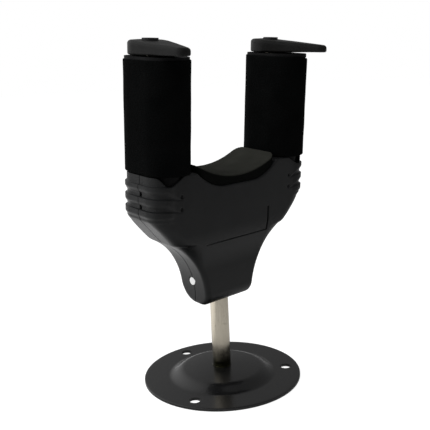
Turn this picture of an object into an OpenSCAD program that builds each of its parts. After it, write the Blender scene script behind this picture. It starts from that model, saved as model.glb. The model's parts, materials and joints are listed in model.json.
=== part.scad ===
// Self-locking yoke hanger on a round wall plate.
// Frame: +Z runs along the rod away from the wall, the back of the plate is Z = 0,
// +X runs along the width of the yoke, and the front of the yoke faces -Y.
// Heights of yoke parts are given with the yoke in line with the rod; tilted()
// then leans them to their rest angle about the pivot pins.

/* [Wall plate] */
// Diameter of the round plate
plate_d = 82; // [70:1:100]
// Thickness of the sheet
plate_t = 1.5; // [1:0.1:1.8]
// Height of the middle of the raised boss
boss_h = 6; // [5.5:0.1:8]
// Diameter where the boss meets the flat rim
boss_foot_d = 56; // [52:1:60]
// Diameter of the shoulder of the boss
boss_crest_d = 43; // [36:1:46]
// Pitch circle of the three wall screws
hole_pcd = 68; // [64:1:70]
// Diameter of each wall screw hole
hole_d = 5.2; // [4:0.1:6]
// Angle of the first wall screw hole from +X
hole_clock = 85; // [0:1:119]

/* [Rod] */
// Diameter of the rod
rod_d = 9.5; // [9:0.1:10]
// Diameter of the turned end that the yoke swivels on
journal_d = 8; // [7:0.1:8]
// Height of the pivot pins above the wall
pivot_z = 56; // [54:0.5:60]

/* [Yoke] */
// Width across the shoulders
shoulder_w = 100; // [98:1:102]
// Depth of the yoke at the shoulders
shoulder_depth = 28.2; // [28:0.1:30]
// Rounding of the upright shoulder corners
corner_r = 8; // [6:0.5:9]
// Width of the neck
neck_w = 32; // [31:0.2:34]
// Depth of the neck
neck_depth = 20.8; // [20.4:0.1:22]
// Wall thickness of the moulded shells
wall = 2; // [1.8:0.1:2.2]
// Height of the top of the shoulders
shoulder_z = 114.5; // [113.5:0.5:114.5]
// Height of the lowest point of the saddle cut
saddle_z = 106.4; // [106:0.2:108]
// Radius of the saddle cut
saddle_r = 46; // [44:1:50]

/* [Arms] */
// Distance from the middle to each arm
arm_x = 38.9; // [38.5:0.1:39.2]
// Half of the width of a foam sleeve
sleeve_r = 11.4; // [10.8:0.1:11.5]
// Offset of the round ends of each arm's oval section
arm_half = 5.6; // [5:0.1:6]
// Wall thickness of the foam
foam_t = 3.5; // [3:0.1:4]
// Height of the lower end of the foam
foam_z = 114.8; // [114.5:0.1:116]
// Length of the foam
foam_l = 49.7; // [46:0.1:54]

/* [Gates] */
// Offset of the gate shafts behind the middle of the yoke
gate_y = 4.4; // [4:0.1:4.6]
// Distance from a gate's shaft to the middle of its tip
gate_reach = 28; // [24:0.5:31]
// Radius of the round end over the shaft
gate_r = 10; // [8.5:0.1:10.5]
// Radius of the tip
gate_tip_r = 3.6; // [2.5:0.1:4.5]
// Angle that an open gate points outwards from straight ahead
gate_open = 11; // [0:1:20]

/* [Motion] */
// Lean of the empty yoke towards its front
rest_tilt = 5; // [3:0.5:6]
// Tilt of the yoke from empty to fully loaded
tilt_travel = 8; // [6:0.5:9]
// Turn of each gate over that tilt
gate_travel = 80; // [60:1:90]

/* [Hidden] */
$fn = 64;

// Colours
black_steel = [0.09, 0.09, 0.1];
nickel = [0.72, 0.7, 0.64];
zinc = [0.6, 0.61, 0.63];
bronze = [0.62, 0.48, 0.26];
abs_black = [0.1, 0.1, 0.105];
gate_grey = [0.34, 0.34, 0.35];
foam_black = [0.04, 0.04, 0.042];
pad_grey = [0.2, 0.2, 0.18];
nylon = [0.85, 0.84, 0.8];

// Fits: a running fit and a snug fit, each side, a free space, and a cutter's overrun
run_gap = 0.05;
snug = 0.01;
free_gap = 0.3;
past = 1;
// Longer and wider than anything in the part
far = 60;

// Screws: diameter, length, head diameter, head height
rod_fix = [5, 12, 9, 2.6];
journal_fix = [4, 8.5, 7.4, 2.3];
lever_fix = [2.5, 7, 3.8, 1.6];
shell_fix = [3, 15, 5.4, 2];
end_fix = [2.5, 9, 5.2, 0.7];
gate_fix = [3, 10, 7.4, 2.9];
washer_t = 1;
rod_washer_d = 11;
journal_washer_d = 12;

// Rod ends
spigot_d = 7;
tap_depth = 14;
journal_tap = 9;
journal_top = pivot_z + 6.6;
rod_shoulder_z = pivot_z - 8.4;

// Wall plate section
boss_drop = 1.1;
crown_r = 14;
crown_drop = 0.25;
middle_r = 6;
rim_round = 0.4;

// Pivot block and pins
block_top = pivot_z + 6.5;
block_half_x = 13;
block_half_y = 6.4;
block_r = 7.4;
pin_d = 4;
pin_in = 5.6;
bush_od = 10;
cheek_t = 4;
cheek_low = 8;
cheek_h = 14;

// Body outline: neck arc, straight flare and upright shoulder
neck_half = neck_w / 2;
outline_low = pivot_z - 14;
flank_r = 38;
flank_z = pivot_z - 10;
flank_end = 64;
flare_z = 94;
shoulder_half = shoulder_w / 2;
depth_half = shoulder_depth / 2;
neck_depth_half = neck_depth / 2;
neck_low = pivot_z - 11.8;
round_back = neck_depth_half;
round_front = 5.5;
pin_tip = neck_half + flank_r - sqrt(flank_r * flank_r - (pivot_z - flank_z) * (pivot_z - flank_z));
// The shells meet a little in front of the middle
parting_y = -1;
depth_top = 86;
depth_low = 64;
flare_inset = 0.36;
cavity_top = 104.8;
saddle_wall = 2.4;

// Ribs round the shoulders
rib_heights = [97.3, 103.4, 109.4];
rib_h = 2.8;
rib_out = 0.9;
rib_front = 0.4;
rib_from = 38;

// Groove of the bare panel on the front
panel_x = 21.7;
panel_z = 78.3;
panel_top = 91;
groove_w = 0.7;
groove_d = 0.5;

// Shell screws
upper_screw = [28, 91];
lower_screw = [14.5, 70.5];
boss_r = 3.2;
screw_head_y = 8;

// Opening for the rod under the neck, from its front to its back
opening_front = -1.2;
opening_back = 1;
opening_r = rod_d / 2 + 0.5;

// Saddle pad
pad_top_z = 110.2;
pad_top_r = 50;
pad_half_x = 26.2;
pad_half_y = 13.7;

// Arms
core_r = sleeve_r - foam_t;
seat_r = sleeve_r - 1.8;
seat_z = 110;
tenon_z = cavity_top;
key_x = core_r + 1.3;
key_y = 6;
key_z = [106.2, 108.2];
plate_z = foam_z + foam_l - 0.7;
end_plate_t = 1.8;
end_plate_r = sleeve_r - 0.6;
core_top = plate_z;
arm_bush_od = 8.6;
arm_bush_l = 9;
end_screw_y = -6.5;
end_sink_d = 5.8;
end_screw_z = plate_z + 1;
window_x = 44;
window_y = 12;
window_r = 6.2;

// Gates
shaft_d = 6;
shaft_hole_d = shaft_d + 1;
shaft_low = 101.2;
gate_bottom = plate_z + end_plate_t + 0.5;
gate_top = gate_bottom + 6.6;
tip_bottom = gate_bottom + 0.6;
tip_top = gate_top - 2.5;
gate_boss_r = 5.9;
gate_boss_z = plate_z + end_plate_t + 0.15;
pocket_d = 7.6;
pocket_depth = 2.4;
pocket_z = gate_top - pocket_depth;
shaft_top = pocket_z - 1.05;

// Lever and cranks: the lever stands still while the yoke tilts round it
lever_z = 97.5;
lever_t = 3;
lever_h = lever_z + lever_t / 2 - pivot_z;
mid_tilt = rest_tilt - tilt_travel / 2;
lever_y = (gate_y - lever_h * sin(mid_tilt)) / cos(mid_tilt);
crank_r = lever_h * sin(tilt_travel / 2) / sin(gate_travel / 2);
crank_t = 3;
crank_hub_r = 4.6;
crank_half_w = 2.2;
crank_pin_d = 2.5;
cross_pin_d = 1.5;
cross_pin_l = 8.6;
slot_w = crank_pin_d + 0.8;
slot_from = arm_x + 1.5;
lever_half_y = slot_w / 2 + 1.3;
lever_end_x = arm_x + 5.8;
leg_x = 6.6;
leg_w = 2.4;
foot_half_y = 2.4;
foot_screw_x = 11.1;
foot_t = 2.4;

// Rest stops inside the back shell, just behind the lever's legs when the yoke is at rest
stop_z = 87;
stop_h = 4;
stop_w = 2;
stop_gap = 0.15;
stop_y = (lever_y + lever_t / 2) * cos(rest_tilt) + (stop_z + stop_h - pivot_z) * sin(rest_tilt) + stop_gap;

// Return spring
spring_z = 82;
spring_r = 3.8;
spring_wire = 1;
spring_turns = 6.5;
spring_seat_y = (depth_half - wall) * cos(rest_tilt) + (spring_z - pivot_z) * sin(rest_tilt);
spring_front = 0.7 - spring_seat_y;
spring_back = lever_y - lever_t / 2 - spring_wire / 2;
spigot_r = 2.4;
spigot_l = 3;
lever_spigot_l = 2.4;
bridge_half = 5;

// ---------- Helpers ----------

// Leans yoke parts from in line with the rod to the rest angle
module tilted() {
    translate([0, 0, pivot_z]) rotate([rest_tilt, 0, 0]) translate([0, 0, -pivot_z]) children();
}

// Oval section of an arm: two round ends joined by straight sides
module oval(r) {
    translate([0, arm_half]) circle(r);
    translate([0, -arm_half]) circle(r);
    translate([-r, -arm_half]) square([2 * r, 2 * arm_half]);
}

// Upright oval bar from z0 to z1 at one arm
module oval_bar(side, r, z0, z1) {
    translate([side * arm_x, 0, z0]) linear_extrude(z1 - z0) oval(r);
}

// Upright round bar from z0 to z1 on the middle axis
module bar_z(d, z0, z1) {
    translate([0, 0, z0]) cylinder(h = z1 - z0, d = d);
}

// Upright round bar on a gate shaft's axis
module shaft_bar(side, d, z0, z1) {
    translate([side * arm_x, gate_y, 0]) bar_z(d, z0, z1);
}

// Bar along X from x0 to x1 at height z
module bar_x(z, d, x0, x1) {
    translate([x0, 0, z]) rotate([0, 90, 0]) cylinder(h = x1 - x0, d = d);
}

// Bar along Y from y0 to y1
module bar_y(x, z, d, y0, y1) {
    translate([x, y1, z]) rotate([90, 0, 0]) cylinder(h = y1 - y0, d = d);
}

// Block between two corners
module block(low, high) {
    translate(low) cube(high - low);
}

// Rectangle with round corners, centred
module round_rect(hx, hy, r) {
    square([2 * hx, 2 * (hy - r)], center = true);
    square([2 * (hx - r), 2 * hy], center = true);
    for (sx = [-1, 1], sy = [-1, 1]) translate([sx * (hx - r), sy * (hy - r)]) circle(r);
}

// Screw along -Z with a round cross-recessed head: the head's underside is at z = 0
module pan_screw(fix) {
    head_r = fix[2] / 2;
    slot = 0.8;
    bar_z(fix[0] - 2 * snug, -fix[1], snug);
    difference() {
        bar_z(fix[2], 0, fix[3]);
        for (a = [0, 90]) rotate([0, 0, a])
            block([-0.6 * head_r, -slot / 2, 0.4 * fix[3]], [0.6 * head_r, slot / 2, fix[3] + past]);
    }
}

function reversed(v) = [for (i = [len(v) - 1 : -1 : 0]) v[i]];
function mirrored(v) = [for (p = v) [-p[0], p[1]]];
// Smooth step from 0 to 1
function ease(f) = (1 - cos(180 * f)) / 2;

// ---------- Body of the yoke ----------

// Right half of the outline seen from the front, drawn in by w
function flank(w) = [
    for (i = [0 : 8]) let (a = flank_end * i / 8)
        [neck_half + flank_r - (flank_r + w) * cos(a), flank_z + (flank_r + w) * sin(a)]
];
function half_outline(w, top) = concat(
    [[neck_half - w, outline_low]], flank(w),
    [[shoulder_half - w, flare_z + flare_inset * w], [shoulder_half - w, top]]
);
// Half of the depth, from the end of the neck, rounded to radius r, to the shoulders
function half_side(w, top, r) = concat(
    [
        for (a = [-90 : 15 : 0])
            [neck_depth_half - r + (r - w) * cos(a), neck_low + r + (r - w) * sin(a)]
    ],
    [
        for (i = [0 : 8])
            [neck_depth_half - w + (depth_half - neck_depth_half) * ease(i / 8),
             depth_low + (depth_top - depth_low) * i / 8]
    ],
    [[depth_half - w, top]]
);

module front_view(w, top) {
    right = half_outline(w, top);
    rotate([90, 0, 0]) linear_extrude(far, center = true)
        polygon(concat(right, reversed(mirrored(right))));
}

module side_view(w, top) {
    back = half_side(w, top, round_back);
    front = half_side(w, top, round_front);
    rotate([90, 0, 90]) linear_extrude(2 * far, center = true)
        polygon(concat(back, reversed(mirrored(front))));
}

module plan_view(w, top) {
    linear_extrude(top + past) round_rect(shoulder_half - w, depth_half - w, corner_r - w);
}

// Round bar across the yoke whose underside is the saddle
module saddle_bar(r, z, half_l) {
    translate([0, half_l, z + r]) rotate([90, 0, 0]) cylinder(h = 2 * half_l, r = r, $fn = 128);
}

module ribs() {
    for (z = rib_heights, s = [-1, 1]) intersection() {
        translate([0, 0, z - rib_h / 2]) linear_extrude(rib_h)
            round_rect(shoulder_half + rib_out, depth_half + rib_front, corner_r + rib_front);
        block([s > 0 ? rib_from : -far, -far, 0], [s > 0 ? far : -rib_from, far, shoulder_z]);
    }
}

module body_solid() {
    difference() {
        intersection() {
            front_view(0, shoulder_z);
            side_view(0, shoulder_z + past);
            plan_view(0, shoulder_z);
        }
        saddle_bar(saddle_r, saddle_z, far);
    }
    ribs();
}

module body_cavity() {
    difference() {
        intersection() {
            front_view(wall, cavity_top);
            side_view(wall, cavity_top + past);
            plan_view(wall, cavity_top);
        }
        saddle_bar(saddle_r + saddle_wall, saddle_z - saddle_wall, far);
    }
}

// Keeps what is at least half a millimetre inside the body's outer faces
module inside_body() {
    intersection() {
        children();
        front_view(0.5, shoulder_z);
        side_view(0.5, shoulder_z);
    }
}

// Seats that hold the feet of the arms, open at the round corners of the shoulders
module arm_seats() {
    for (s = [-1, 1]) {
        oval_bar(s, seat_r, seat_z, shoulder_z + past);
        for (t = [-1, 1]) translate([s * window_x, t * window_y, 0])
            bar_z(2 * window_r, seat_z, shoulder_z + past);
        oval_bar(s, core_r + 3 * snug, cavity_top - past, seat_z + past);
        arm_key(s, run_gap);
    }
}

// Key on the foot of an arm, drawn out by gap, that the shells close on
module arm_key(side, gap) {
    translate([side * arm_x, 0, 0])
        block([-key_x - gap, -key_y - gap, key_z[0] - gap], [key_x + gap, key_y + gap, key_z[1] + gap]);
}

module screw_places() {
    for (s = [-1, 1], p = [upper_screw, lower_screw]) translate([s * p[0], 0, p[1]]) children();
}

module rod_opening() {
    for (y = [opening_front, opening_back]) translate([0, y, 0])
        bar_z(2 * opening_r, outline_low, pivot_z);
    block([-opening_r, opening_front, outline_low], [opening_r, opening_back, pivot_z]);
}

// Cheeks inside the neck that close on the pivot pins
module pin_cheeks() {
    low = [block_half_x + free_gap, -neck_depth_half, pivot_z - cheek_low];
    size = [cheek_t - free_gap, neck_depth, cheek_h];
    inside_body() {
        translate(low) cube(size);
        translate([-low[0] - size[0], low[1], low[2]]) cube(size);
    }
}

module shell(front) {
    difference() {
        intersection() {
            union() {
                difference() {
                    body_solid();
                    body_cavity();
                }
                pin_cheeks();
                inside_body() screw_places() bar_y(0, 0, 2 * boss_r, -far, far);
            }
            block([-far, front ? -far : parting_y, 0], [far, front ? parting_y : far, 2 * far]);
        }
        arm_seats();
        rod_opening();
        bar_x(pivot_z, pin_d, -far, far);
        screw_places() bar_y(0, 0, shell_fix[0], screw_head_y - shell_fix[1] - past, far);
        screw_places() bar_y(0, 0, shell_fix[2] + 0.4, screw_head_y, far);
    }
}

module front_shell() {
    color(abs_black) tilted() {
        difference() {
            shell(true);
            block([panel_x - groove_w, -far, panel_z], [panel_x, groove_d - depth_half, panel_top]);
            block([-panel_x, -far, panel_z], [panel_x, groove_d - depth_half, panel_z + groove_w]);
        }
        bar_y(0, spring_z + 1.1, 2 * spigot_r, past - depth_half, wall + spigot_l - depth_half);
    }
}

module back_shell() {
    x = leg_x + leg_w / 2 - stop_w / 2;
    size = [stop_w, depth_half - past - stop_y, stop_h];
    color(abs_black) tilted() {
        shell(false);
        translate([x, stop_y, stop_z]) cube(size);
        translate([-x - stop_w, stop_y, stop_z]) cube(size);
    }
}

module shell_screws() {
    color(zinc) tilted() screw_places()
        translate([0, screw_head_y + 2 * snug, 0]) rotate([-90, 0, 0]) pan_screw(shell_fix);
}

module saddle_pad() {
    color(pad_grey) tilted() intersection() {
        difference() {
            saddle_bar(saddle_r - 3 * snug, saddle_z + 3 * snug, pad_half_y);
            saddle_bar(pad_top_r, pad_top_z, far);
        }
        block([-pad_half_x, -far, 0], [pad_half_x, far, 2 * far]);
    }
}

// ---------- Wall plate and rod ----------

// Half section of one face of the pressed sheet, from the foot of the boss to its middle,
// with the sheet's thickness t taken off for the inner face
function dome(t) = concat(
    [
        for (i = [0 : 6]) let (f = i / 6, rise = boss_h - boss_drop - plate_t)
            [(boss_foot_d + (boss_crest_d - boss_foot_d) * f) / 2, plate_t - t + rise * ease(f)]
    ],
    [
        [crown_r, boss_h - crown_drop - t],
        [middle_r, boss_h - t],
        [spigot_d / 2 + run_gap, boss_h - t]
    ]
);

module wall_plate() {
    outer = concat([[plate_d / 2 - rim_round, plate_t], [boss_foot_d / 2 + 1, plate_t]], dome(0));
    inner = concat([[plate_d / 2, 0], [boss_foot_d / 2, 0]], dome(plate_t));
    rim = [[plate_d / 2, plate_t - rim_round]];
    color(black_steel) difference() {
        rotate_extrude($fn = 128) polygon(concat(inner, reversed(outer), rim));
        for (i = [0 : 2]) rotate([0, 0, hole_clock - 120 * i]) translate([hole_pcd / 2, 0, 0])
            bar_z(hole_d, -past, plate_t + past);
    }
}

module rod() {
    low = boss_h - plate_t;
    color(nickel) difference() {
        union() {
            bar_z(spigot_d, low + 2 * run_gap, boss_h + past);
            bar_z(rod_d, boss_h, rod_shoulder_z);
            bar_z(journal_d, rod_shoulder_z - past, journal_top);
        }
        bar_z(rod_fix[0], low - past, low - past + tap_depth);
        bar_z(journal_fix[0], journal_top - journal_tap, journal_top + past);
    }
}

module washer(d, hole, z) {
    color(zinc) difference() {
        bar_z(d, z, z + washer_t);
        bar_z(hole, z - past, z + washer_t + past);
    }
}

module rod_washer() {
    washer(rod_washer_d, rod_fix[0] + free_gap, boss_h - plate_t - washer_t);
}

module rod_screw() {
    color(zinc) translate([0, 0, boss_h - plate_t - washer_t]) rotate([180, 0, 0]) pan_screw(rod_fix);
}

module journal_washer() {
    washer(journal_washer_d, journal_fix[0] + free_gap, journal_top + run_gap);
}

module journal_screw() {
    color(zinc) translate([0, 0, journal_top + run_gap + washer_t]) pan_screw(journal_fix);
}

// ---------- Swivel block and lever ----------

module pivot_block() {
    color(zinc) difference() {
        union() {
            intersection() {
                bar_x(pivot_z, 2 * block_r, -block_half_x, block_half_x);
                block([-far, -block_half_y, 0], [far, block_half_y, pivot_z]);
            }
            block([-block_half_x, -block_half_y, pivot_z], [block_half_x, block_half_y, block_top]);
        }
        bar_z(bush_od, 0, 2 * far);
        bar_x(pivot_z, pin_d + 2 * run_gap, pin_in, far);
        bar_x(pivot_z, pin_d + 2 * run_gap, -far, -pin_in);
        for (s = [-1, 1]) translate([s * foot_screw_x, lever_y, 0])
            bar_z(lever_fix[0], block_top - 6, 2 * far);
    }
}

module swivel_bush() {
    low = rod_shoulder_z + run_gap;
    color(bronze) difference() {
        bar_z(bush_od, low, block_top - 0.2);
        bar_z(journal_d + 2 * run_gap, low - past, block_top + past);
    }
}

// Crossbar with an open slot at each end, on two legs joined by a bridge
module actuator_lever() {
    front = lever_y - lever_t / 2;
    back = lever_y + lever_t / 2;
    bar_front = lever_y - lever_half_y;
    bar_back = lever_y + lever_half_y;
    foot_front = lever_y - foot_half_y;
    foot_back = lever_y + foot_half_y;
    foot_top = block_top + foot_t;
    slot_front = lever_y - slot_w / 2;
    slot_back = lever_y + slot_w / 2;
    color(black_steel) difference() {
        union() {
            block([-lever_end_x, bar_front, lever_z], [lever_end_x, bar_back, lever_z + lever_t]);
            block([leg_x, front, block_top], [leg_x + leg_w, back, lever_z + past]);
            block([-leg_x - leg_w, front, block_top], [-leg_x, back, lever_z + past]);
            block([leg_x, foot_front, block_top], [block_half_x, foot_back, foot_top]);
            block([-block_half_x, foot_front, block_top], [-leg_x, foot_back, foot_top]);
            block([-leg_x - 1, front, spring_z - bridge_half], [leg_x + 1, back, spring_z + bridge_half]);
            bar_y(0, spring_z, 2 * spigot_r, spring_back - lever_spigot_l, lever_y);
        }
        block([slot_from, slot_front, lever_z - past], [far, slot_back, lever_z + lever_t + past]);
        block([-far, slot_front, lever_z - past], [-slot_from, slot_back, lever_z + lever_t + past]);
        for (s = [-1, 1]) translate([s * foot_screw_x, lever_y, 0])
            bar_z(lever_fix[0] + free_gap, block_top - past, foot_top + past);
    }
}

module lever_screws() {
    color(zinc) for (s = [-1, 1]) translate([s * foot_screw_x, lever_y, block_top + foot_t])
        pan_screw(lever_fix);
}

// One ring of the round wire at fraction f of the coil
function coil_ring(f, sides) = let (
    a = 360 * spring_turns * f,
    y = spring_back + (spring_front - spring_back) * f
) [
    for (k = [0 : sides - 1]) let (b = 360 * k / sides, q = spring_r + spring_wire / 2 * cos(b))
        [q * cos(a), y + spring_wire / 2 * sin(b), spring_z + q * sin(a)]
];

module return_spring() {
    steps = 160;
    sides = 8;
    points = [for (i = [0 : steps]) each coil_ring(i / steps, sides)];
    walls = [
        for (i = [0 : steps - 1], k = [0 : sides - 1])
            let (a = i * sides + k, b = i * sides + (k + 1) % sides) [a, b, b + sides, a + sides]
    ];
    first = [for (k = [sides - 1 : -1 : 0]) k];
    last = [for (k = [0 : sides - 1]) steps * sides + k];
    color(nickel) polyhedron(points, concat([first, last], walls), convexity = 10);
}

module pivot_pin(side) {
    near = pin_in + 0.2;
    color(nickel) tilted() bar_x(pivot_z, pin_d, side > 0 ? near : -pin_tip, side > 0 ? pin_tip : -near);
}

// ---------- Arms ----------

module arm_core(side) {
    color(abs_black) tilted() difference() {
        union() {
            oval_bar(side, core_r, tenon_z, core_top);
            arm_key(side, 0);
        }
        shaft_bar(side, shaft_hole_d, tenon_z - past, core_top + past);
        shaft_bar(side, arm_bush_od, core_top - arm_bush_l, core_top + past);
        shaft_bar(side, arm_bush_od, tenon_z - past, tenon_z + arm_bush_l);
        translate([side * arm_x, end_screw_y, 0]) bar_z(end_fix[0], core_top - 12, core_top + past);
    }
}

module foam_sleeve(side) {
    color(foam_black) tilted() difference() {
        oval_bar(side, sleeve_r, foam_z + 2 * snug, foam_z + foam_l);
        oval_bar(side, core_r + 2 * snug, foam_z - past, core_top);
        oval_bar(side, end_plate_r + run_gap, core_top, foam_z + foam_l + past);
    }
}

module end_plate(side) {
    low = plate_z + snug;
    high = plate_z + end_plate_t;
    color(abs_black) tilted() difference() {
        oval_bar(side, end_plate_r, low, high);
        shaft_bar(side, shaft_hole_d, low - past, high + past);
        translate([side * arm_x, end_screw_y, 0]) {
            bar_z(end_fix[0] + 2 * free_gap, low - past, high + past);
            bar_z(end_sink_d, end_screw_z, high + past);
        }
    }
}

module end_screws(side) {
    color(zinc) tilted() translate([side * arm_x, end_screw_y, end_screw_z]) pan_screw(end_fix);
}

module arm_bush(side, z) {
    color(nylon) tilted() difference() {
        shaft_bar(side, arm_bush_od, z, z + arm_bush_l);
        shaft_bar(side, shaft_d + 2 * run_gap, z - past, z + arm_bush_l + past);
    }
}

// ---------- Gates ----------

// Places a gate part, drawn pointing along +X, at its open angle
module at_gate(side) {
    translate([side * arm_x, gate_y, 0]) rotate([0, 0, side * gate_open - 90]) children();
}

// Teardrop: two circles and the straight sides that touch both
module teardrop() {
    a = acos((gate_r - gate_tip_r) / gate_reach);
    circle(gate_r);
    translate([gate_reach, 0]) circle(gate_tip_r);
    polygon([
        for (s = [-1, 1]) [gate_r * cos(a), s * gate_r * sin(a)],
        for (s = [1, -1]) [gate_reach + gate_tip_r * cos(a), s * gate_tip_r * sin(a)]
    ]);
}

// Side view of a gate: thick over the shaft and thin at the tip
module gate_wedge() {
    near = -gate_r - 1;
    tip = gate_reach + gate_tip_r + 1;
    rotate([90, 0, 0]) linear_extrude(far, center = true) polygon([
        [near, gate_bottom], [gate_r - 2, gate_bottom], [tip, tip_bottom],
        [tip, tip_top], [-0.4 * gate_r, gate_top], [near, gate_top - 0.4]
    ]);
}

module gate(side) {
    color(gate_grey) tilted() at_gate(side) difference() {
        union() {
            intersection() {
                linear_extrude(4 * far) teardrop();
                gate_wedge();
            }
            bar_z(2 * gate_boss_r, gate_boss_z, gate_boss_z + 2);
        }
        bar_z(shaft_d, gate_boss_z - past, pocket_z - 1);
        bar_z(gate_fix[0] + 0.2, gate_bottom, gate_top + past);
        bar_z(pocket_d, pocket_z, gate_top + past);
    }
}

// Cross hole or cross pin through a shaft and its crank
module cross_bar(side, d, length) {
    translate([side * arm_x, gate_y, shaft_low + crank_t / 2]) rotate([90, 0, 0])
        cylinder(h = length, d = d, center = true);
}

module gate_shaft(side) {
    color(nickel) tilted() difference() {
        shaft_bar(side, shaft_d, shaft_low, shaft_top);
        shaft_bar(side, gate_fix[0], gate_top - 14, gate_top);
        cross_bar(side, cross_pin_d, far);
    }
}

module gate_screw(side) {
    color(zinc) tilted() translate([side * arm_x, gate_y, pocket_z]) pan_screw(gate_fix);
}

// Arm on the foot of the shaft, pointing outwards, with its pin hanging into the lever's slot
module crank(side) {
    turn = side > 0 ? gate_travel / 2 : 180 - gate_travel / 2;
    top = shaft_low + crank_t;
    color(zinc) tilted() difference() {
        translate([side * arm_x, gate_y, 0]) rotate([0, 0, turn]) {
            bar_z(2 * crank_hub_r, shaft_low, top);
            block([0, -crank_half_w, shaft_low], [crank_r, crank_half_w, top]);
            translate([crank_r, 0, 0]) bar_z(2 * crank_half_w, shaft_low, top);
            translate([crank_r, 0, 0]) bar_z(crank_pin_d, lever_z - free_gap, shaft_low + past);
        }
        shaft_bar(side, shaft_d, shaft_low - past, top + past);
        cross_bar(side, cross_pin_d, far);
    }
}

module crank_pin(side) {
    color(zinc) tilted() cross_bar(side, cross_pin_d - 2 * snug, cross_pin_l);
}

// ---------- Nodes ----------

wall_plate();
rod();
rod_washer();
rod_screw();
journal_washer();
journal_screw();
pivot_block();
swivel_bush();
actuator_lever();
lever_screws();
return_spring();
front_shell();
back_shell();
shell_screws();
saddle_pad();
pivot_pin(-1);  // left_pivot_pin
pivot_pin(1);  // right_pivot_pin
arm_core(-1);  // left_arm_core
arm_core(1);  // right_arm_core
foam_sleeve(-1);  // left_foam_sleeve
foam_sleeve(1);  // right_foam_sleeve
end_plate(-1);  // left_end_plate
end_plate(1);  // right_end_plate
end_screws(-1);  // left_end_screws
end_screws(1);  // right_end_screws
arm_bush(-1, core_top - arm_bush_l);  // left_upper_bush
arm_bush(1, core_top - arm_bush_l);  // right_upper_bush
arm_bush(-1, tenon_z);  // left_lower_bush
arm_bush(1, tenon_z);  // right_lower_bush
gate(-1);  // left_gate
gate(1);  // right_gate
gate_shaft(-1);  // left_gate_shaft
gate_shaft(1);  // right_gate_shaft
gate_screw(-1);  // left_gate_screw
gate_screw(1);  // right_gate_screw
crank(-1);  // left_crank
crank(1);  // right_crank
crank_pin(-1);  // left_crank_pin
crank_pin(1);  // right_crank_pin
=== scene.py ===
import math
import json
import bpy
import bmesh
import numpy as np
from mathutils import Matrix, Vector


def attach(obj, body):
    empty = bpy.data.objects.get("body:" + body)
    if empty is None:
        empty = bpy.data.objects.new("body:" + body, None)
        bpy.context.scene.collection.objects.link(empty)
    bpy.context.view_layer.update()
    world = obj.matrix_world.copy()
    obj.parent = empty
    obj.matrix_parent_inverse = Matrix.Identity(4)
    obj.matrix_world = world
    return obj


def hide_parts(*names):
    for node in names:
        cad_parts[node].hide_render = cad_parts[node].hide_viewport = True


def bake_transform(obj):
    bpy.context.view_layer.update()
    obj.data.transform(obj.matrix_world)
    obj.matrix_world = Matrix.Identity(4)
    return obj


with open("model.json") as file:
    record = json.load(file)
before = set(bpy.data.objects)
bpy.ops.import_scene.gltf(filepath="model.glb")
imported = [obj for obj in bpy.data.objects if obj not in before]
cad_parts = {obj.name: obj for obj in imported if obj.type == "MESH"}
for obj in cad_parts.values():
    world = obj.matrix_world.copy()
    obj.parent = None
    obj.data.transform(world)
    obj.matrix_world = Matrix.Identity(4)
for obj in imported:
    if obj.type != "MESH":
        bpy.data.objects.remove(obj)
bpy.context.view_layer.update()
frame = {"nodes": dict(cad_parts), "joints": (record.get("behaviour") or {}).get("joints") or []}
nodes = frame["nodes"]
MM = 0.001

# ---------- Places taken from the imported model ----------

JOINT = {j["name"]: j for j in frame["joints"]}
PIVOT = Vector(JOINT["yoke_tilt"]["pos_m"])
GATE_AXIS = Vector(JOINT["right_gate_swing"]["axis"])
LEAN = math.atan2(abs(GATE_AXIS.y), abs(GATE_AXIS.z))
TO_WORLD = (Matrix.Translation(PIVOT) @ Matrix.Rotation(LEAN, 4, "X")
            @ Matrix.Translation(-PIVOT) @ Matrix.Scale(MM, 4))


# ---------- Mesh tools ----------

def new_mesh(name, verts, faces, matrix, sharp=None):
    """Smooth mesh; edges steeper than sharp, in degrees, stay sharp."""
    mesh = bpy.data.meshes.new(name)
    mesh.from_pydata([tuple(v) for v in verts], [], [tuple(int(i) for i in f) for f in faces])
    mesh.transform(matrix)
    mesh.polygons.foreach_set("use_smooth", [True] * len(mesh.polygons))
    if sharp is not None:
        mesh.set_sharp_from_angle(angle=math.radians(sharp))
    mesh.update()
    obj = bpy.data.objects.new(name, mesh)
    bpy.context.scene.collection.objects.link(obj)
    return obj


def quads_to_mesh(name, verts, quads, matrix):
    """Fast version of new_mesh for a large array of quads."""
    mesh = bpy.data.meshes.new(name)
    mesh.vertices.add(len(verts))
    mesh.vertices.foreach_set("co", np.ascontiguousarray(verts, np.float32).ravel())
    mesh.loops.add(4 * len(quads))
    mesh.loops.foreach_set("vertex_index", np.ascontiguousarray(quads, np.int32).ravel())
    mesh.polygons.add(len(quads))
    mesh.polygons.foreach_set("loop_start", np.arange(0, 4 * len(quads), 4, dtype=np.int32))
    mesh.polygons.foreach_set("use_smooth", np.ones(len(quads), bool))
    mesh.update(calc_edges=True)
    mesh.validate()
    mesh.transform(matrix)
    mesh.update()
    obj = bpy.data.objects.new(name, mesh)
    bpy.context.scene.collection.objects.link(obj)
    return obj


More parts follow.
